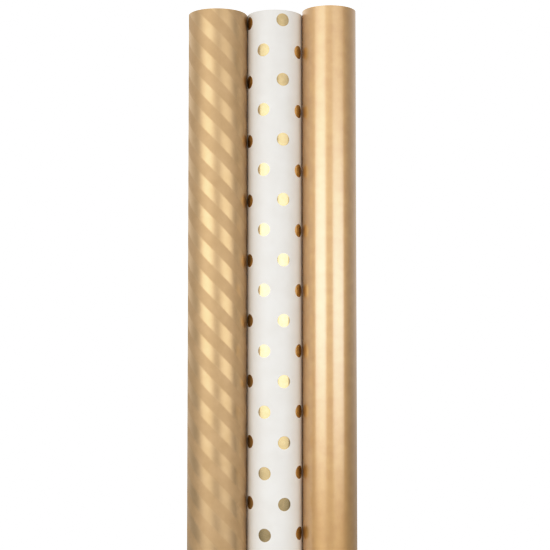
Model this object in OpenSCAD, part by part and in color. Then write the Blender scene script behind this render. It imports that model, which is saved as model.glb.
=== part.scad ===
// Set of three gift wrapping paper rolls, standing upright side by side.
// Each roll is a two-ply cardboard core with paper wound on it.  The free end of the paper
// is divided into narrow strips, so that it can uncurl from the roll about vertical hinge lines.
// Units are millimetres, +Z is up, and the origin is on the floor at the middle of the set.

/* [Set] */
// Gap between neighbouring rolls, which all but touch
roll_gap = 0.06; // [0.02:0.02:10]
// How far the middle roll stands back from the other two
middle_setback = 4; // [0:0.5:5]

/* [Left roll] */
// Outside diameter of the left roll
left_d = 47.4; // [42:0.1:60]
// Width of the left roll's paper, which is the roll's length
left_w = 761.5; // [300:0.5:1000]

/* [Middle roll] */
// Outside diameter of the middle roll
middle_d = 44.7; // [42:0.1:60]
// Width of the middle roll's paper, which is the roll's length
middle_w = 762; // [300:0.5:1000]

/* [Right roll] */
// Outside diameter of the right roll
right_d = 43.6; // [42:0.1:60]
// Width of the right roll's paper, which is the roll's length
right_w = 764.5; // [300:0.5:1000]

/* [Cardboard cores] */
// Inside diameter of each core
core_id = 35; // [25:0.5:36]
// Thickness of one ply of core board
ply_t = 0.5; // [0.4:0.05:0.8]
// How far the top of a core lies below the paper's edge
core_drop = 1; // [0:0.5:10]
// Running clearance between the core and the innermost turn, on the radius
fit_gap = 0.05; // [0.02:0.01:0.1]

/* [Free end of the paper] */
// Angle round the roll, from +X towards +Y, where the free end leaves the winding
tail_start = 166; // [160:1:170]
// Number of strips that the free end is divided into
tail_strips = 6; // [6]
// Angle round the roll that one strip covers
strip_angle = 25; // [10:1:25]
// Thickness of a strip
strip_t = 0.4; // [0.3:0.05:0.6]
// Space under a strip, above the turn that it lies on
strip_gap = 0.3; // [0.2:0.05:0.5]
// Space between the edges of neighbouring strips
edge_gap = 0.3; // [0.2:0.05:0.6]

/* [Hidden] */
$fn = 128;
eps = 0.5; // how far a cutter stands past the face that it cuts

core_od = core_id + 4 * ply_t;
winding_id = core_od + 2 * fit_gap;

// Distance across the set between the axes of two neighbouring rolls
function axis_step(d1, d2) = sqrt(pow((d1 + d2) / 2 + roll_gap, 2) - pow(middle_setback, 2));
left_step = axis_step(left_d, middle_d);
right_step = axis_step(middle_d, right_d);
set_w = left_d / 2 + left_step + right_step + right_d / 2;
side_r = max(left_d, right_d) / 2;
set_front = min(-side_r, middle_setback - middle_d / 2);
set_back = max(side_r, middle_setback + middle_d / 2);

// Where the three rolls' axes meet the floor
side_y = -(set_front + set_back) / 2;
left_at = [-set_w / 2 + left_d / 2, side_y, 0];
middle_at = [left_at[0] + left_step, side_y + middle_setback, 0];
right_at = [middle_at[0] + right_step, side_y, 0];

// The colours of the three papers and of the core board
left_colour = "goldenrod";
middle_colour = "ivory";
right_colour = "gold";
board_colour = "tan";

// A straight tube standing on the floor
module tube(outer_d, inner_d, length) {
    difference() {
        cylinder(d = outer_d, h = length);
        translate([0, 0, -eps]) cylinder(d = inner_d, h = length + 2 * eps);
    }
}

// A tall curved wall between two angles, anticlockwise from the first to the second
module curved_wall(outer_r, inner_r, from, to, bottom, height) {
    rotate([0, 0, from]) rotate_extrude(angle = to - from)
        translate([inner_r, bottom]) square([outer_r - inner_r, height]);
}

// Inner ply of a core, which is the wall of the hole through the roll
module core_inner_ply(at, paper_w) {
    color(board_colour) translate(at)
        tube(core_id + 2 * ply_t, core_id, paper_w - core_drop);
}

// Outer ply of a core, glued round the inner one
module core_outer_ply(at, paper_w) {
    color(board_colour) translate(at)
        tube(core_od, core_id + 2 * ply_t, paper_w - core_drop);
}

// All the turns of paper on a core, with room on the outside for the free end to lie in
module winding(at, roll_d, paper_w, colour) {
    edge = gap_angle(roll_d);
    color(colour) translate(at) difference() {
        tube(roll_d, winding_id, paper_w);
        curved_wall(roll_d / 2 + eps, roll_d / 2 - strip_t - strip_gap,
            tail_start - tail_strips * strip_angle - edge, tail_start + edge,
            -eps, paper_w + 2 * eps);
    }
}

// One strip of the free end: number 1 joins the winding, and the last has the free edge
module tail_strip(at, roll_d, paper_w, colour, number) {
    edge = gap_angle(roll_d);
    to = tail_start - (number - 1) * strip_angle - edge;
    from = tail_start - number * strip_angle + edge;
    color(colour) translate(at)
        curved_wall(roll_d / 2, roll_d / 2 - strip_t, from, to, 0, paper_w);
}

// Half the space between two strips, as an angle
function gap_angle(roll_d) = edge_gap / 2 / (roll_d / 2) * 180 / PI;

core_inner_ply(left_at, left_w);  // left_core_inner_ply
core_outer_ply(left_at, left_w);  // left_core_outer_ply
winding(left_at, left_d, left_w, left_colour);  // left_winding
core_inner_ply(middle_at, middle_w);  // middle_core_inner_ply
core_outer_ply(middle_at, middle_w);  // middle_core_outer_ply
winding(middle_at, middle_d, middle_w, middle_colour);  // middle_winding
core_inner_ply(right_at, right_w);  // right_core_inner_ply
core_outer_ply(right_at, right_w);  // right_core_outer_ply
winding(right_at, right_d, right_w, right_colour);  // right_winding
for (i = [1:tail_strips]) {
    tail_strip(left_at, left_d, left_w, left_colour, i);
    tail_strip(middle_at, middle_d, middle_w, middle_colour, i);
    tail_strip(right_at, right_d, right_w, right_colour, i);
}
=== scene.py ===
"""Gift wrapping paper: three rolls standing side by side, each a web of paper wound on a cardboard core.

Every strip-like piece, whether a turn of paper or a ply of core board, is one flat slab that a
geometry node tree bends round its roll.  The last turn's free end is cut at the middle of each
rigid strip of the frame.
"""

import logging
import math
from dataclasses import dataclass, field
from enum import Enum

import bmesh
import bpy
from mathutils import Euler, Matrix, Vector

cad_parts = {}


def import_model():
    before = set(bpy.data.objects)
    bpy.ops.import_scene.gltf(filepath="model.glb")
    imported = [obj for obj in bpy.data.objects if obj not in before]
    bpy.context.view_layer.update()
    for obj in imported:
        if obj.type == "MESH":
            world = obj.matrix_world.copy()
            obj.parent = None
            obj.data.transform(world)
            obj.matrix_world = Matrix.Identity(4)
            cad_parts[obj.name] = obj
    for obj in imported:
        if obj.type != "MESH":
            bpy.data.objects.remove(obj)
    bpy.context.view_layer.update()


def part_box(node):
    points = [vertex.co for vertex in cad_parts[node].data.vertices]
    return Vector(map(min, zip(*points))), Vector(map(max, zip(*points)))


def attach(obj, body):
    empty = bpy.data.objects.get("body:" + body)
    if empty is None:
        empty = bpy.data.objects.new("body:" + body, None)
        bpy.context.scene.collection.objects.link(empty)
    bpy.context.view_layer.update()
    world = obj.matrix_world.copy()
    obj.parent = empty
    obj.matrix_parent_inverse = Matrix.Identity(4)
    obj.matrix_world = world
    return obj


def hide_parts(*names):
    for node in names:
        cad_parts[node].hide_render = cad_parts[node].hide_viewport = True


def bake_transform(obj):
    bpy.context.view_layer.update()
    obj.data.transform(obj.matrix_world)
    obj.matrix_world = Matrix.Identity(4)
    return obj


LOG = logging.getLogger("wrapping_paper")

MM = 0.001
MATH = "ShaderNodeMath"
FRONT_DEG = 270.0  # the angle round a roll, from +X towards +Y, that faces the front


class Side(Enum):
    """The three kinds of face that a slab of paper or board has."""

    OUTSIDE = 0
    REVERSE = 1
    CUT = 2


class RollName(Enum):
    """The three rolls, from left to right."""

    LEFT = "left"
    MIDDLE = "middle"
    RIGHT = "right"


def linear(hex_colour: str) -> tuple[float, float, float, float]:
    """Turns an sRGB hex colour into linear RGBA.

    Args:
        hex_colour: Six hex digits, such as "f0e8d8".

    Returns:
        Red, green, blue and an alpha of 1.
    """
    parts = [int(hex_colour[i : i + 2], 16) / 255 for i in (0, 2, 4)]
    return (*[c / 12.92 if c <= 0.04045 else ((c + 0.055) / 1.055) ** 2.4 for c in parts], 1.0)


def add_node(
    tree: bpy.types.NodeTree,
    kind: str,
    *values: object,
    out: int | str = 0,
    **settings: object,
) -> bpy.types.NodeSocket | None:
    """Adds a node, sets its properties, and sets or links its inputs.

    Args:
        tree: The node tree that the node goes into.
        kind: The node's type, such as "ShaderNodeMath".
        values: One for each input in order; a socket is linked, None is skipped.
        out: Which output to return.
        settings: Properties of the node; a name that is an input's name in small letters with
            underscores sets or links that input instead.

    Returns:
        The chosen output socket, or None from a node that has no outputs.
    """
    node = tree.nodes.new(kind)
    labels = {name: name.replace("_", " ") for name in settings}
    inputs = {socket.name.lower() for socket in node.inputs}
    for name, value in settings.items():
        if labels[name] not in inputs:
            setattr(node, name, value)
    pairs = [(node.inputs[i], value) for i, value in enumerate(values)]
    for name, value in settings.items():
        if labels[name] in inputs:
            found = [s for s in node.inputs if s.name.lower() == labels[name] and s.enabled]
            pairs.append((found[0], value))
    for socket, value in pairs:
        if isinstance(value, bpy.types.NodeSocket):
            tree.links.new(value, socket)
        elif value is not None:
            socket.default_value = value
    if not node.outputs:
        return None
    return node.outputs[out]


# ---------------------------------------------------------------------------------------------
# Finishes
# ---------------------------------------------------------------------------------------------


@dataclass(frozen=True)
class Finish:
    """A finish: it starts a material and leaves its pattern to each subclass."""

    name: str

    def dress(self, tree: bpy.types.NodeTree, shader: bpy.types.ShaderNode) -> None:
        """Adds this finish's nodes.

        Args:
            tree: The material's node tree.
            shader: Its Principled shader.
        """
        raise NotImplementedError

    def material(self) -> bpy.types.Material:
        """Makes this finish's material, or finds it if it is already made.

        Returns:
            The material.
        """
        made = bpy.data.materials.get(self.name)
        if made is None:
            made = bpy.data.materials.new(self.name)
            made.use_nodes = True
            tree = made.node_tree
            tree.nodes.clear()
            surface = add_node(tree, "ShaderNodeBsdfPrincipled")
            add_node(tree, "ShaderNodeOutputMaterial", surface)
            self.dress(tree, surface.node)
        return made


def fibre_bump(
    tree: bpy.types.NodeTree, size_mm: float, depth_mm: float, strength: float
) -> bpy.types.NodeSocket:
    """Gives a sheet the fine uneven surface that pressed fibres leave.

    Args:
        tree: The material's node tree.
        size_mm: Size of one lump.
        depth_mm: Height of the lumps.
        strength: How much of the bump shows.

    Returns:
        The bumped normal.
    """
    place = add_node(tree, "ShaderNodeTexCoord", out="Object")
    lumps = add_node(
        tree, "ShaderNodeTexNoise", vector=place, scale=1 / (size_mm * MM), detail=3.0, roughness=0.6
    )
    return add_node(
        tree, "ShaderNodeBump", strength=strength, distance=depth_mm * MM, height=lumps
    )


def cloudy_colour(
    tree: bpy.types.NodeTree, low: str, high: str, size_mm: float
) -> bpy.types.NodeSocket:
    """Mixes two near colours in soft clouds, as ink, foil and pulp vary.

    Args:
        tree: The material's node tree.
        low: Hex colour of the darker clouds.
        high: Hex colour of the lighter clouds.
        size_mm: Size of one cloud.

    Returns:
        The mixed colour.
    """
    place = add_node(tree, "ShaderNodeTexCoord", out="Object")
    clouds = add_node(tree, "ShaderNodeTexNoise", vector=place, scale=1 / (size_mm * MM), detail=4.0)
    spread = add_node(tree, "ShaderNodeMapRange", clouds, 0.3, 0.7, 0.0, 1.0)
    mix = add_node(tree, "ShaderNodeMix", data_type="RGBA", out=2)
    tree.links.new(spread, mix.node.inputs[0])
    mix.node.inputs[6].default_value = linear(low)
    mix.node.inputs[7].default_value = linear(high)
    return mix


def web_axes(tree: bpy.types.NodeTree) -> tuple[bpy.types.NodeSocket, bpy.types.NodeSocket]:
    """Reads the web's own coordinates: metres along the web and metres up it."""
    split = add_node(tree, "ShaderNodeSeparateXYZ", add_node(tree, "ShaderNodeTexCoord", out="UV"))
    return split, split.node.outputs[1]


@dataclass(frozen=True)
class SatinFoil(Finish):
    """Aluminium-metallised paper under a yellow lacquer: a satin mirror that spreads highlights wide."""

    low: str = "ca9a56"
    high: str = "d4a660"
    roughness: float = 0.5
    coat_ior: float = 2.3
    coat_roughness: float = 0.2

    def dress(self, tree: bpy.types.NodeTree, shader: bpy.types.ShaderNode) -> None:
        """Adds the foil's cloudy gold, its lacquer and its faint paper grain.

        Args:
            tree: The material's node tree.
            shader: Its Principled shader.
        """
        gold = cloudy_colour(tree, self.low, self.high, size_mm=9.0)
        tree.links.new(gold, shader.inputs["Base Color"])
        shader.inputs["Metallic"].default_value = 1.0
        shader.inputs["Roughness"].default_value = self.roughness
        shader.inputs["Coat Weight"].default_value = 1.0
        shader.inputs["Coat IOR"].default_value = self.coat_ior
        shader.inputs["Coat Roughness"].default_value = self.coat_roughness
        grain = fibre_bump(tree, size_mm=0.9, depth_mm=0.02, strength=0.25)
        tree.links.new(grain, shader.inputs["Normal"])


@dataclass(frozen=True)
class BandedFoil(Finish):
    """Gold foil paper with diagonal bands, left glossy in turn with a matt overprint."""

    low: str = "c1a278"
    high: str = "c9aa81"
    matt_roughness: float = 0.6
    gloss_roughness: float = 0.4
    repeat_mm: float = 25.3  # up the roll, from one band to the next
    phase: float = 0.33  # share of a repeat
    edge_mm: float = 0.5  # half of a band's soft edge, up the roll

    def dress(self, tree: bpy.types.NodeTree, shader: bpy.types.ShaderNode) -> None:
        """Adds the bands, which run down to the right at 45 degrees.

        Args:
            tree: The material's node tree.
            shader: Its Principled shader.
        """
        along, up = web_axes(tree)
        both = add_node(tree, MATH, along, up, operation="ADD")
        turns = add_node(tree, MATH, both, 1 / (self.repeat_mm * MM), self.phase, operation="MULTIPLY_ADD")
        saw = add_node(tree, MATH, turns, 0.5, operation="PINGPONG")
        soft = self.edge_mm / self.repeat_mm
        rough = add_node(
            tree, "ShaderNodeMapRange", saw, 0.25 - soft, 0.25 + soft,
            self.matt_roughness, self.gloss_roughness,
        )
        gold = cloudy_colour(tree, self.low, self.high, size_mm=11.0)
        tree.links.new(gold, shader.inputs["Base Color"])
        shader.inputs["Metallic"].default_value = 1.0
        tree.links.new(rough, shader.inputs["Roughness"])
        grain = fibre_bump(tree, size_mm=0.9, depth_mm=0.02, strength=0.2)
        tree.links.new(grain, shader.inputs["Normal"])


@dataclass(frozen=True)
class DotPrint(Finish):
    """White clay-coated paper, hot-stamped with round spots of gold foil in staggered columns."""

    white_low: str = "e4e1db"
    white_high: str = "e9e7e2"
    spot_low: str = "bca67a"
    spot_high: str = "c7b084"
    spot_mm: float = 10.5
    column_mm: float = 16.07  # from one column to the next, which is staggered
    repeat_mm: float = 47.92  # up a column, from one spot to the next
    first_along_mm: float = 7.25  # where one spot's middle lies, along the web from its front
    first_up_mm: float = 562.2  # and up it
    skew: float = 0.0034  # how far a column drifts along the web for each unit up it
    edge_mm: float = 0.12
    paper_roughness: float = 0.45
    foil_roughness: float = 0.17

    def spots(self, tree: bpy.types.NodeTree) -> bpy.types.NodeSocket:
        """Draws the spots.

        Args:
            tree: The material's node tree.

        Returns:
            A mask that is 1 on the gold spots and 0 on the white.
        """
        along, up = web_axes(tree)
        drift = add_node(tree, MATH, up, self.skew, along, operation="MULTIPLY_ADD")
        nearest = None
        for shift in (0, 1):
            start_along = (self.first_along_mm + self.first_up_mm * self.skew - shift * self.column_mm) * MM
            start_up = (self.first_up_mm - shift * self.repeat_mm / 2) * MM
            across = add_node(tree, MATH, drift, start_along, operation="SUBTRACT")
            across = add_node(
                tree, MATH, across, -self.column_mm * MM, self.column_mm * MM, operation="WRAP"
            )
            high = add_node(tree, MATH, up, start_up, operation="SUBTRACT")
            half = self.repeat_mm * MM / 2
            high = add_node(tree, MATH, high, -half, half, operation="WRAP")
            offset = add_node(tree, "ShaderNodeCombineXYZ", across, high)
            far = add_node(tree, "ShaderNodeVectorMath", offset, operation="LENGTH", out="Value")
            nearest = (
                far
                if nearest is None
                else add_node(tree, MATH, nearest, far, operation="MINIMUM")
            )
        radius, soft = self.spot_mm * MM / 2, self.edge_mm * MM
        return add_node(tree, "ShaderNodeMapRange", nearest, radius - soft, radius + soft, 1.0, 0.0)

    def dress(self, tree: bpy.types.NodeTree, shader: bpy.types.ShaderNode) -> None:
        """Adds the white coat, the stamped spots and the slight dent that stamping leaves.

        Args:
            tree: The material's node tree.
            shader: Its Principled shader.
        """
        mask = self.spots(tree)
        colour = add_node(tree, "ShaderNodeMix", data_type="RGBA", out=2)
        tree.links.new(mask, colour.node.inputs[0])
        white = cloudy_colour(tree, self.white_low, self.white_high, size_mm=14.0)
        tree.links.new(white, colour.node.inputs[6])
        spot = cloudy_colour(tree, self.spot_low, self.spot_high, size_mm=3.0)
        tree.links.new(spot, colour.node.inputs[7])
        tree.links.new(colour, shader.inputs["Base Color"])
        tree.links.new(mask, shader.inputs["Metallic"])
        rough = add_node(
            tree, "ShaderNodeMapRange", mask, 0.0, 1.0, self.paper_roughness, self.foil_roughness
        )
        tree.links.new(rough, shader.inputs["Roughness"])
        grain = fibre_bump(tree, size_mm=0.8, depth_mm=0.02, strength=0.2)
        dent = add_node(
            tree, "ShaderNodeBump", strength=0.5, distance=0.03 * MM, height=mask, invert=True, normal=grain
        )
        tree.links.new(dent, shader.inputs["Normal"])


@dataclass(frozen=True)
class BarePaper(Finish):
    """Uncoated bleached kraft, as on the back of gift wrap: matt, with fibres just visible."""

    low: str = "e6e2da"
    high: str = "f1eee8"

    def dress(self, tree: bpy.types.NodeTree, shader: bpy.types.ShaderNode) -> None:
        """Adds the pulp's clouds and fibres.

        Args:
            tree: The material's node tree.
            shader: Its Principled shader.
        """
        pulp = cloudy_colour(tree, self.low, self.high, size_mm=2.5)
        tree.links.new(pulp, shader.inputs["Base Color"])
        shader.inputs["Roughness"].default_value = 0.85
        grain = fibre_bump(tree, size_mm=0.35, depth_mm=0.04, strength=0.35)
        tree.links.new(grain, shader.inputs["Normal"])


@dataclass(frozen=True)
class CoreBoard(Finish):
    """Unbleached recycled core board: brown, matt, with darker fibres and flecks."""

    low: str = "8e6d48"
    high: str = "b08a5f"
    fleck: str = "6d5032"

    def dress(self, tree: bpy.types.NodeTree, shader: bpy.types.ShaderNode) -> None:
        """Adds the board's fibres, stretched along the strip, and scattered flecks.

        Args:
            tree: The material's node tree.
            shader: Its Principled shader.
        """
        along, up = web_axes(tree)
        place = add_node(tree, "ShaderNodeCombineXYZ", along, up)
        stretch = add_node(tree, "ShaderNodeMapping", place, scale=(0.25, 1.0, 1.0))
        fibres = add_node(
            tree, "ShaderNodeTexNoise", vector=stretch, scale=1 / (0.6 * MM), detail=6.0, roughness=0.7
        )
        spread = add_node(tree, "ShaderNodeMapRange", fibres, 0.3, 0.7, 0.0, 1.0)
        body = add_node(tree, "ShaderNodeMix", data_type="RGBA", out=2)
        tree.links.new(spread, body.node.inputs[0])
        body.node.inputs[6].default_value = linear(self.low)
        body.node.inputs[7].default_value = linear(self.high)
        specks = add_node(tree, "ShaderNodeTexNoise", vector=place, scale=1 / (1.4 * MM), detail=2.0)
        few = add_node(tree, "ShaderNodeMapRange", specks, 0.68, 0.74, 0.0, 0.8)
        colour = add_node(tree, "ShaderNodeMix", data_type="RGBA", out=2)
        tree.links.new(few, colour.node.inputs[0])
        tree.links.new(body, colour.node.inputs[6])
        colour.node.inputs[7].default_value = linear(self.fleck)
        tree.links.new(colour, shader.inputs["Base Color"])
        shader.inputs["Roughness"].default_value = 0.88
        bump = add_node(tree, "ShaderNodeBump", strength=0.4, distance=0.06 * MM, height=fibres)
        tree.links.new(bump, shader.inputs["Normal"])


REVERSE = BarePaper("paper_reverse")
CUT_EDGE = BarePaper("paper_cut_edge", low="cfc6b6", high="efe9df")
BOARD = CoreBoard("core_board")
BOARD_EDGE = CoreBoard("core_board_edge", low="7c5f40", high="a07d55")


# ---------------------------------------------------------------------------------------------
# The bent slab
# ---------------------------------------------------------------------------------------------

BROAD_SIDE = 0.4  # a face further than this from the slab's middle is broad; the cut ones lie at 0
DENT_MM = 62.5  # size of the shallow dents in a turn
WANDER = 0.35  # how quickly the ends of the turns wander, for each radian round the roll


def slab_tree() -> bpy.types.NodeTree:
    """Builds the geometry node tree that bends a flat slab round a roll.

    The slab is a box with its length along the web, its thickness outwards and its width up the
    roll.  Each point's place along the slab becomes an angle, and its place up the slab a height.

    Returns:
        The tree, with a named input for each size.
    """
    made = bpy.data.node_groups.get("bent_slab")
    if made is not None:
        return made
    tree = bpy.data.node_groups.new("bent_slab", "GeometryNodeTree")
    sockets = {
        "NodeSocketVector": ["Axis"],
        "NodeSocketFloat": [
            "From Angle", "To Angle", "Outer Radius", "Edge Angle", "Turn Pitch", "Thickness", "Bottom",
            "Height", "Rise", "Lift", "Lift Angle", "Dimples", "Ragged",
        ],
        "NodeSocketInt": ["Columns", "Rows"],
        "NodeSocketMaterial": ["Outside", "Reverse", "Cut"],
    }
    tree.interface.new_socket("Geometry", in_out="INPUT", socket_type="NodeSocketGeometry")
    for kind, names in sockets.items():
        for name in names:
            tree.interface.new_socket(name, in_out="INPUT", socket_type=kind)
    tree.interface.new_socket("Geometry", in_out="OUTPUT", socket_type="NodeSocketGeometry")
    given = tree.nodes.new("NodeGroupInput").outputs

    slab = add_node(
        tree, "GeometryNodeMeshCube", (1.0, 1.0, 1.0), given["Columns"], 2, given["Rows"], out="Mesh"
    )
    flat = add_node(tree, "GeometryNodeInputPosition")
    split = add_node(tree, "ShaderNodeSeparateXYZ", flat).node
    outward = add_node(tree, MATH, split.outputs[1], 0.5, operation="SUBTRACT")  # -1 on the reverse

    # which way each face looked on the flat slab
    marked = add_node(tree, "GeometryNodeCaptureAttribute", domain="FACE", out="Geometry").node
    marked.capture_items.new("FLOAT", "Layer")
    tree.links.new(slab, marked.inputs["Geometry"])
    tree.links.new(split.outputs[1], marked.inputs["Layer"])
    layer = marked.outputs["Layer"]

    # the slab's start lies at the larger angle, so that its faces keep looking outwards
    share = add_node(tree, MATH, 0.5, split.outputs[0], operation="SUBTRACT")
    span = add_node(tree, MATH, given["To Angle"], given["From Angle"], operation="SUBTRACT")
    turned = add_node(tree, MATH, share, span, operation="MULTIPLY")
    angle = add_node(tree, MATH, turned, given["From Angle"], operation="ADD")
    past_edge = add_node(tree, MATH, angle, given["Edge Angle"], operation="SUBTRACT")
    pitch = add_node(tree, MATH, given["Turn Pitch"], math.tau, operation="DIVIDE")
    sunk = add_node(tree, MATH, past_edge, pitch, operation="MULTIPLY")
    radius = add_node(tree, MATH, given["Outer Radius"], sunk, operation="SUBTRACT")

    # arc length from the front of the roll, for the pattern
    front = math.radians(FRONT_DEG)
    from_front = add_node(tree, MATH, angle, front, operation="SUBTRACT")
    sunk_half = add_node(tree, MATH, from_front, 0.5, -front, operation="MULTIPLY_ADD")
    sunk_half = add_node(tree, MATH, angle, sunk_half, operation="SUBTRACT")
    sunk_half = add_node(tree, MATH, sunk_half, given["Edge Angle"], operation="SUBTRACT")
    sunk_half = add_node(tree, MATH, sunk_half, pitch, operation="MULTIPLY")
    mean = add_node(tree, MATH, given["Outer Radius"], sunk_half, operation="SUBTRACT")
    along = add_node(tree, MATH, from_front, mean, operation="MULTIPLY")
    up_share = add_node(tree, MATH, split.outputs[2], 0.5, operation="ADD")
    up = add_node(tree, MATH, up_share, given["Height"], operation="MULTIPLY")
    web = add_node(tree, "ShaderNodeCombineXYZ", along, up)
    stored = add_node(
        tree, "GeometryNodeStoreNamedAttribute", marked.outputs["Geometry"], None, "UVMap",
        data_type="FLOAT2", domain="CORNER", out="Geometry",
    )
    value = next(s for s in stored.node.inputs if s.name == "Value" and s.enabled)
    tree.links.new(web, value)

    # the loose edge stands off a little, and no turn is perfectly round
    lift = add_node(
        tree, "ShaderNodeMapRange", past_edge, given["Lift Angle"], 0.0, 0.0, given["Lift"],
        interpolation_type="SMOOTHSTEP",
    )
    cosine = add_node(tree, MATH, angle, operation="COSINE")
    sine = add_node(tree, MATH, angle, operation="SINE")
    around = add_node(tree, "ShaderNodeCombineXYZ", cosine, sine)
    spot = add_node(tree, "ShaderNodeVectorMath", around, operation="SCALE", scale=given["Outer Radius"])
    lifted_up = add_node(tree, "ShaderNodeCombineXYZ", 0.0, 0.0, up)
    spot = add_node(tree, "ShaderNodeVectorMath", spot, lifted_up, operation="ADD")
    spot = add_node(tree, "ShaderNodeVectorMath", spot, given["Axis"], operation="ADD")
    dents = add_node(tree, "ShaderNodeTexNoise", vector=spot, scale=1 / (DENT_MM * MM), detail=1.0)
    dent = add_node(tree, MATH, dents, given["Dimples"], operation="MULTIPLY")
    radius = add_node(tree, MATH, radius, lift, operation="ADD")
    radius = add_node(tree, MATH, radius, dent, operation="SUBTRACT")
    radius = add_node(tree, MATH, outward, given["Thickness"], radius, operation="MULTIPLY_ADD")

    # each turn ends a little above or below its neighbours
    slowly = add_node(tree, MATH, angle, WANDER, operation="MULTIPLY")
    turn = add_node(tree, "ShaderNodeCombineXYZ", slowly, 0.0, given["Outer Radius"])
    uneven = add_node(tree, "ShaderNodeTexNoise", vector=turn, scale=1.0, detail=2.0)
    end = add_node(tree, MATH, up_share, 2.0, -1.0, operation="MULTIPLY_ADD")
    notch = add_node(tree, MATH, uneven, given["Ragged"], operation="MULTIPLY")
    notch = add_node(tree, MATH, notch, end, operation="MULTIPLY")
    turns = add_node(tree, MATH, angle, given["From Angle"], operation="SUBTRACT")
    turns = add_node(tree, MATH, turns, math.tau, operation="DIVIDE")
    height = add_node(tree, MATH, turns, given["Rise"], up, operation="MULTIPLY_ADD")
    height = add_node(tree, MATH, height, given["Bottom"], operation="ADD")
    height = add_node(tree, MATH, height, notch, operation="SUBTRACT")
    place = add_node(tree, "ShaderNodeVectorMath", around, operation="SCALE", scale=radius)
    raised = add_node(tree, "ShaderNodeCombineXYZ", 0.0, 0.0, height)
    place = add_node(tree, "ShaderNodeVectorMath", place, raised, operation="ADD")
    place = add_node(tree, "ShaderNodeVectorMath", place, given["Axis"], operation="ADD")
    bent = add_node(tree, "GeometryNodeSetPosition", stored, None, place)

    # the two broad sides are smooth, and the cut edges and their rims stay crisp
    outside = add_node(
        tree, "FunctionNodeCompare", layer, BROAD_SIDE, data_type="FLOAT", operation="GREATER_THAN"
    )
    inside = add_node(
        tree, "FunctionNodeCompare", layer, -BROAD_SIDE, data_type="FLOAT", operation="LESS_THAN"
    )
    broad = add_node(tree, "FunctionNodeBooleanMath", outside, inside, operation="OR")
    smooth = add_node(tree, "GeometryNodeSetShadeSmooth", bent, None, broad, domain="FACE")
    smooth = add_node(tree, "GeometryNodeSetShadeSmooth", smooth, None, broad, domain="EDGE")
    cut = add_node(tree, "GeometryNodeRealizeInstances", smooth)
    for mask, name in ((None, "Cut"), (outside, "Outside"), (inside, "Reverse")):
        cut = add_node(tree, "GeometryNodeSetMaterial", cut, mask, given[name])
    add_node(tree, "NodeGroupOutput", cut)
    return tree


@dataclass(frozen=True)
class Slab:
    """A strip of paper or board bent round a roll.  Sizes are in millimetres and degrees."""

    from_deg: float
    to_deg: float
    outer_r: float
    thickness: float
    height: float
    step_deg: float = 2.0
    rows: int = 2
    bottom: float = 0.0
    rise: float = 0.0
    edge_deg: float = 0.0
    turn_pitch: float = 0.0
    lift: float = 0.0
    lift_deg: float = 30.0
    dimples: float = 0.0
    ragged: float = 0.0

    def build(self, name: str, axis: Vector, finishes: dict[Side, Finish]) -> bpy.types.Object:
        """Makes the strip as a plain mesh.

        Args:
            name: The piece's name.
            axis: Where the roll's axis meets the floor, in metres.
            finishes: The finish of each side.

        Returns:
            The finished object, at the origin.
        """
        source = bpy.data.objects.new(name + "_slab", bpy.data.meshes.new(name + "_slab"))
        bpy.context.scene.collection.objects.link(source)
        modifier = source.modifiers.new("bend", "NODES")
        modifier.node_group = slab_tree()
        sizes = {
            "Axis": axis,
            "From Angle": math.radians(self.from_deg),
            "To Angle": math.radians(self.to_deg),
            "Outer Radius": self.outer_r * MM,
            "Edge Angle": math.radians(self.edge_deg),
            "Turn Pitch": self.turn_pitch * MM,
            "Thickness": self.thickness * MM,
            "Bottom": self.bottom * MM,
            "Height": self.height * MM,
            "Rise": self.rise * MM,
            "Lift": self.lift * MM,
            "Lift Angle": math.radians(self.lift_deg),
            "Dimples": self.dimples * MM,
            "Ragged": self.ragged * MM,
            "Columns": max(2, 1 + round((self.to_deg - self.from_deg) / self.step_deg)),
            "Rows": self.rows,
            "Outside": finishes[Side.OUTSIDE].material(),
            "Reverse": finishes[Side.REVERSE].material(),
            "Cut": finishes[Side.CUT].material(),
        }
        for item in modifier.node_group.interface.items_tree:
            if item.item_type == "SOCKET" and item.in_out == "INPUT" and item.name in sizes:
                modifier[item.identifier] = sizes[item.name]
        source.update_tag()
        bpy.context.view_layer.update()
        ready = source.evaluated_get(bpy.context.evaluated_depsgraph_get())
        mesh = bpy.data.meshes.new_from_object(ready)
        mesh.name = name
        bpy.data.objects.remove(source)
        made = bpy.data.objects.new(name, mesh)
        bpy.context.scene.collection.objects.link(made)
        return made


def trim_height(piece: bpy.types.Object, low: float, high: float, cut_slot: int) -> None:
    """Cuts a closed piece off square at two heights and closes the cuts.

    Args:
        piece: The piece, whose mesh is changed.
        low: Height of the lower cut, in metres.
        high: Height of the upper cut, in metres.
        cut_slot: Material index for the cut faces.
    """
    mesh = bmesh.new()
    mesh.from_mesh(piece.data)
    for height, direction in ((low, -1.0), (high, 1.0)):
        found = bmesh.ops.bisect_plane(
            mesh,
            geom=[*mesh.verts, *mesh.edges, *mesh.faces],
            plane_co=(0.0, 0.0, height),
            plane_no=(0.0, 0.0, direction),
            clear_outer=True,
        )
        rim = [e for e in found["geom_cut"] if isinstance(e, bmesh.types.BMEdge)]
        filled = bmesh.ops.triangle_fill(mesh, edges=rim, normal=(0.0, 0.0, direction))
        for face in filled["geom"]:
            if isinstance(face, bmesh.types.BMFace):
                face.material_index = cut_slot
                face.smooth = False
    bmesh.ops.recalc_face_normals(mesh, faces=mesh.faces)
    mesh.to_mesh(piece.data)
    mesh.free()


# ---------------------------------------------------------------------------------------------
# The rolls
# ---------------------------------------------------------------------------------------------


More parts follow.
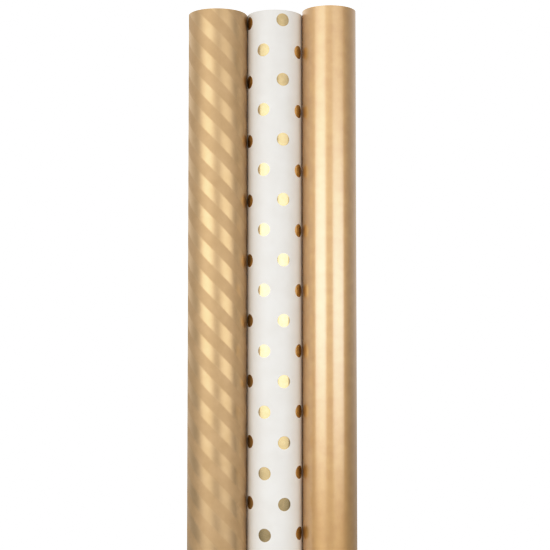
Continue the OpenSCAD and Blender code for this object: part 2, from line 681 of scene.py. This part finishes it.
@dataclass
class Core:
    """A roll's core: two plies of board wound in a spiral, the outer one's seam between the inner's."""

    roll: RollName
    axis: Vector
    height: float  # mm
    inner_r: float = 17.5
    ply: float = 0.5
    strip_rise: float = 102.6  # how far the strip climbs in one turn
    seam: float = 0.35  # gap between neighbouring edges of the strip
    seam_shift: float = 0.5  # share of a turn between the two plies' seams

    def build(self) -> list[bpy.types.Object]:
        """Makes both plies and puts each in place of its solid in the frame.

        Returns:
            The two plies, the inner one first.
        """
        pieces = []
        for number, layer in enumerate(("inner", "outer")):
            turns = self.height / self.strip_rise + 2
            start = -self.strip_rise * (1 + number * self.seam_shift)
            slab = Slab(
                from_deg=0.0,
                to_deg=360.0 * (turns + number * self.seam_shift),
                outer_r=self.inner_r + (number + 1) * self.ply,
                thickness=self.ply - 0.02,
                bottom=start,
                height=self.strip_rise - self.seam,
                rise=self.strip_rise,
                step_deg=5.0,
            )
            piece = slab.build(
                f"{self.roll.value}_core_{layer}_board",
                self.axis,
                {Side.OUTSIDE: BOARD, Side.REVERSE: BOARD, Side.CUT: BOARD_EDGE},
            )
            cut_slot = piece.data.materials.find(BOARD_EDGE.name)
            trim_height(piece, 0.0, self.height * MM, cut_slot)
            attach(piece, f"{self.roll.value}_core")
            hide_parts(f"{self.roll.value}_core_{layer}_ply")
            pieces.append(piece)
        return pieces


@dataclass
class Roll:
    """One roll: its core, the turns of paper on it, and the free end of the last turn."""

    name: RollName
    print_finish: Finish
    slot: str
    paper: float  # thickness of the sheet, mm
    turn_pitch: float  # from one turn to the next, mm
    tail_start_deg: float = 166.0
    strip_deg: float = 25.0
    strips: int = 6
    edge_lift: float = 0.35
    winding_inner_r: float = 18.55
    rows: int = 49
    axis: Vector = field(init=False)
    radius: float = field(init=False)
    height: float = field(init=False)
    core_height: float = field(init=False)

    def __post_init__(self) -> None:
        """Reads the roll's place and size from the frame."""
        low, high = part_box(f"{self.name.value}_core_inner_ply")
        self.axis = Vector(((low.x + high.x) / 2, (low.y + high.y) / 2, 0.0))
        self.core_height = high.z / MM
        low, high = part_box(f"{self.name.value}_winding")
        # one turn in from its free edge, the sheet comes down to the winding's own radius
        self.radius = (self.axis.y - low.y) / MM + self.turn_pitch
        self.height = high.z / MM

    @property
    def edge_deg(self) -> float:
        """The angle of the sheet's free edge."""
        return self.tail_start_deg - self.strips * self.strip_deg

    def finishes(self) -> dict[Side, Finish]:
        """The finish of each side of the sheet."""
        return {Side.OUTSIDE: self.print_finish, Side.REVERSE: REVERSE, Side.CUT: CUT_EDGE}

    def web(
        self, part: str, from_deg: float, to_deg: float, rows: int, step_deg: float
    ) -> bpy.types.Object:
        """Makes the stretch of the web between two angles, counted inwards from its free edge.

        Args:
            part: The last part of the piece's name.
            from_deg: Where the stretch starts.
            to_deg: Where it ends, deeper in the roll.
            rows: Points up the roll.
            step_deg: Angle between its columns of points.

        Returns:
            The finished object.
        """
        slab = Slab(
            from_deg=from_deg,
            to_deg=to_deg,
            outer_r=self.radius,
            thickness=self.paper,
            height=self.height,
            step_deg=step_deg,
            rows=rows,
            edge_deg=self.edge_deg,
            turn_pitch=self.turn_pitch,
            lift=self.edge_lift,
            dimples=0.02,
            ragged=0.3,
        )
        piece = slab.build(f"{self.name.value}_{part}", self.axis, self.finishes())
        return piece

    def build_winding(self) -> list[bpy.types.Object]:
        """Makes the turns that stay on the roll: the printed one that shows, and all inside it.

        Returns:
            The outer turn and the inner turns.
        """
        half = self.strip_deg / 2
        outer_end = self.tail_start_deg + 360.0
        turns = (self.radius - self.paper - self.winding_inner_r) / self.turn_pitch
        pieces = [
            self.web("outer_turn", self.tail_start_deg + half, outer_end, self.rows, 2.0),
            self.web("inner_turns", outer_end, self.edge_deg + 360.0 * turns, 2, 3.75),
        ]
        for piece in pieces:
            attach(piece, f"{self.name.value}_winding")
            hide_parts(f"{self.name.value}_winding")
        return pieces

    def around(self, angle_deg: float) -> tuple[float, float, float]:
        """Finds a point at the foot of the roll's outside.

        Args:
            angle_deg: Its angle round the roll.

        Returns:
            The point, in metres.
        """
        angle = math.radians(angle_deg)
        r = self.radius * MM
        return (self.axis.x + r * math.cos(angle), self.axis.y + r * math.sin(angle), 0.0)

    def build_free_end(self) -> list[bpy.types.Object]:
        """Makes the free end, cut at the middle of each strip of the frame.

        Returns:
            Its pieces, from the winding to the free edge.
        """
        pieces = []
        name = self.name.value
        half = self.strip_deg / 2
        for number in range(1, self.strips + 1):
            hinge = self.tail_start_deg - (number - 1) * self.strip_deg
            piece = self.web(f"free_end_{number}", hinge - half, hinge + half, self.rows, 1.25)
            after = f"{name}_tail_strip_{number}"
            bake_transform(piece)
            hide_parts(after)
            pieces.append(piece)
        last = self.web(
            f"free_end_{self.strips + 1}", self.edge_deg, self.edge_deg + half, self.rows, 1.25
        )
        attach(last, f"{name}_tail_strip_{self.strips}")
        pieces.append(last)
        return pieces

    def build(self) -> list[bpy.types.Object]:
        """Makes the whole roll.

        Returns:
            All its pieces.
        """
        pieces = Core(self.name, self.axis, self.core_height).build()
        pieces += self.build_winding()
        pieces += self.build_free_end()
        return pieces


# ---------------------------------------------------------------------------------------------
# The studio
# ---------------------------------------------------------------------------------------------


@dataclass(frozen=True)
class Softbox:
    """A tall soft light that faces the set's middle."""

    name: str
    azimuth_deg: float  # from the front, positive to the right
    width_deg: float  # the angle that it fills, seen from the rolls
    low: float  # heights of its lower and upper edges, m
    high: float
    radiance: float
    distance: float = 1.25
    lower_fade: tuple[float, float, float] = (0.16, 0.48, 0.0)  # heights, m, and level at the bottom
    upper_fade: tuple[float, float, float] = (0.68, 1.05, 0.3)  # heights, m, and level at the top

    def build(self) -> None:
        """Adds the light to the scene."""
        width = 2 * self.distance * math.tan(math.radians(self.width_deg) / 2)
        height = self.high - self.low
        data = bpy.data.lights.new(self.name, "AREA")
        data.shape = "RECTANGLE"
        data.size = width
        data.size_y = height
        data.energy = self.radiance * math.pi * width * height  # an area light's radiance is W / (pi m2)
        self.fade(data)
        lamp = bpy.data.objects.new(self.name, data)
        turn = math.radians(self.azimuth_deg)
        middle = (self.low + self.high) / 2
        lamp.location = (self.distance * math.sin(turn), -self.distance * math.cos(turn), middle)
        lamp.rotation_euler = Euler((math.pi / 2, 0.0, turn))
        lamp.visible_camera = False
        bpy.context.scene.collection.objects.link(lamp)

    def fade(self, data: bpy.types.AreaLight) -> None:
        """Dims the ends of the diffuser, which lie far from its lamp.

        Args:
            data: The light to dim.
        """
        data.use_nodes = True
        tree = data.node_tree
        tree.nodes.clear()
        place = add_node(tree, "ShaderNodeNewGeometry", out="Parametric")
        share = add_node(tree, "ShaderNodeSeparateXYZ", place).node.outputs[1]
        height = add_node(tree, "ShaderNodeMapRange", share, 0.0, 1.0, self.low, self.high)
        start, stop, level = self.lower_fade
        rising = add_node(tree, "ShaderNodeMapRange", height, start, stop, level, 1.0)
        start, stop, level = self.upper_fade
        falling = add_node(tree, "ShaderNodeMapRange", height, start, stop, 1.0, level)
        both = add_node(tree, MATH, rising, falling, operation="MULTIPLY")
        glow = add_node(tree, "ShaderNodeEmission", None, both)
        add_node(tree, "ShaderNodeOutputLight", glow)


@dataclass(frozen=True)
class Studio:
    """Camera, lights, pale floor and white surroundings."""

    camera_at: tuple[float, float, float] = (0.0022, -0.9394, 0.5056)
    tilt_deg: float = 2.767
    lens_mm: float = 76.53
    sensor_mm: float = 36.0
    floor_r: float = 1.6
    floor_grey: float = 0.6
    floor_drop: float = 0.0005  # how far the floor lies below the rolls' ends, m
    side: float = 0.6  # the room's brightness at the sides; behind the rolls it is 1
    front: float = 0.95  # and in front
    below: float = 0.1  # how much of that is left low down, beyond the floor
    left_to_right: tuple[float, float] = (1.2, 0.74)  # how much of it each side has
    # the stretches of direction, in parts of a unit vector, over which the room's brightness changes
    y_behind: tuple[float, float] = (0.0, 0.6)
    y_ahead: tuple[float, float] = (-0.55, -0.85)
    z_low: tuple[float, float] = (-0.3, 0.02)
    x_across: tuple[float, float] = (-0.7, 0.7)
    white: float = 1.3  # the light that shows as pure white
    # pairs of a light's strength and the level that shows it
    shoulder: tuple[tuple[float, float], ...] = (
        (0.3, 0.3), (0.6, 0.6), (0.8, 0.78), (1.0, 0.92), (1.15, 0.97)
    )
    softboxes: tuple[Softbox, ...] = (
        Softbox("softbox_left", azimuth_deg=-39.0, width_deg=46.0, low=0.05, high=1.6, radiance=2.6),
        Softbox(
            "softbox_right", azimuth_deg=37.0, width_deg=45.0, low=0.05, high=1.6, radiance=2.7,
            upper_fade=(0.62, 1.0, 0.15),
        ),
    )

    def build(self) -> None:
        """Adds everything to the scene."""
        self.add_camera()
        for box in self.softboxes:
            box.build()
        self.add_surroundings()
        self.add_floor()
        self.expose()

    def expose(self) -> None:
        """Rolls the brightest tones off gently up to white, as film does."""
        view = bpy.context.scene.view_settings
        view.view_transform = "Standard"
        view.look = "None"
        view.use_curve_mapping = True
        mapping = view.curve_mapping
        mapping.white_level = (self.white,) * 3
        curve = mapping.curves[3]
        for light, shown in self.shoulder:
            curve.points.new(light / self.white, shown)
        mapping.update()

    def add_camera(self) -> None:
        """Stands the camera in front, a little above half height, tilted slightly up."""
        data = bpy.data.cameras.new("camera")
        data.sensor_width = self.sensor_mm
        data.lens = self.lens_mm
        camera = bpy.data.objects.new("camera", data)
        camera.location = self.camera_at
        camera.rotation_euler = Euler((math.radians(90.0 + self.tilt_deg), 0.0, 0.0))
        bpy.context.scene.collection.objects.link(camera)
        bpy.context.scene.camera = camera

    def add_surroundings(self) -> None:
        """Makes a room that is brightest behind the rolls, and that the camera sees as plain white."""
        world = bpy.data.worlds.new("studio")
        bpy.context.scene.world = world
        world.use_nodes = True
        tree = world.node_tree
        tree.nodes.clear()
        where = add_node(tree, "ShaderNodeTexCoord", out="Generated")
        split = add_node(tree, "ShaderNodeSeparateXYZ", where)
        behind = add_node(tree, "ShaderNodeMapRange", split.node.outputs[1], *self.y_behind, self.side, 1.0)
        ahead = add_node(
            tree, "ShaderNodeMapRange", split.node.outputs[1], *self.y_ahead,
            0.0, self.front - self.side, interpolation_type="SMOOTHSTEP",
        )
        around = add_node(tree, MATH, behind, ahead, operation="ADD")
        low_down = add_node(
            tree, "ShaderNodeMapRange", split.node.outputs[2], *self.z_low, self.below, 1.0
        )
        around = add_node(tree, MATH, around, low_down, operation="MULTIPLY")
        across = add_node(tree, "ShaderNodeMapRange", split, *self.x_across, *self.left_to_right)
        around = add_node(tree, MATH, around, across, operation="MULTIPLY")
        seen = add_node(tree, "ShaderNodeLightPath", out="Is Camera Ray")
        shown = add_node(tree, MATH, seen, self.white, operation="MULTIPLY")
        level = add_node(tree, MATH, around, shown, operation="MAXIMUM")
        shade = add_node(tree, "ShaderNodeBackground", (1.0, 1.0, 1.0, 1.0), level)
        add_node(tree, "ShaderNodeOutputWorld", shade)

    def add_floor(self) -> None:
        """Lays a round pale floor that fades out into the white."""
        mesh = bmesh.new()
        bmesh.ops.create_circle(mesh, cap_ends=True, radius=self.floor_r, segments=96)
        data = bpy.data.meshes.new("floor")
        mesh.to_mesh(data)
        mesh.free()
        floor = bpy.data.objects.new("floor", data)
        bpy.context.scene.collection.objects.link(floor)
        made = bpy.data.materials.new("pale_floor")
        made.use_nodes = True
        tree = made.node_tree
        tree.nodes.clear()
        place = add_node(tree, "ShaderNodeTexCoord", out="Object")
        out_from_middle = add_node(tree, "ShaderNodeVectorMath", place, operation="LENGTH", out="Value")
        fade = add_node(
            tree, "ShaderNodeMapRange", out_from_middle, 0.5 * self.floor_r, self.floor_r, 0.0, 1.0,
            interpolation_type="SMOOTHSTEP",
        )
        pale = add_node(
            tree, "ShaderNodeBsdfPrincipled", base_color=(*(self.floor_grey,) * 3, 1.0), roughness=0.6
        )
        clear = add_node(tree, "ShaderNodeBsdfTransparent")
        mixed = add_node(tree, "ShaderNodeMixShader", fade, pale, clear)
        add_node(tree, "ShaderNodeOutputMaterial", mixed)
        data.materials.append(made)
        floor.location.z = -self.floor_drop


def make_rolls() -> list[Roll]:
    """Chooses each roll's finish and paper.

    Returns:
        The three rolls, from left to right.
    """
    banded, dotted = BandedFoil("banded_gold_foil"), DotPrint("gold_dot_print")
    satin = SatinFoil("satin_gold_foil")
    return [
        Roll(RollName.LEFT, banded, "stripe_foil_paper", paper=0.1, turn_pitch=0.14),
        Roll(RollName.MIDDLE, dotted, "dot_print_paper", paper=0.085, turn_pitch=0.1),
        Roll(RollName.RIGHT, satin, "satin_foil_paper", paper=0.07, turn_pitch=0.0844),
    ]


def main() -> None:
    """Loads the frame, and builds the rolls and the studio."""
    logging.basicConfig(level=logging.INFO, format="%(message)s")
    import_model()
    Studio().build()
    for roll in make_rolls():
        for piece in roll.build():
            LOG.info("%s: %d faces", piece.name, len(piece.data.polygons))


if __name__ == "__main__":
    main()
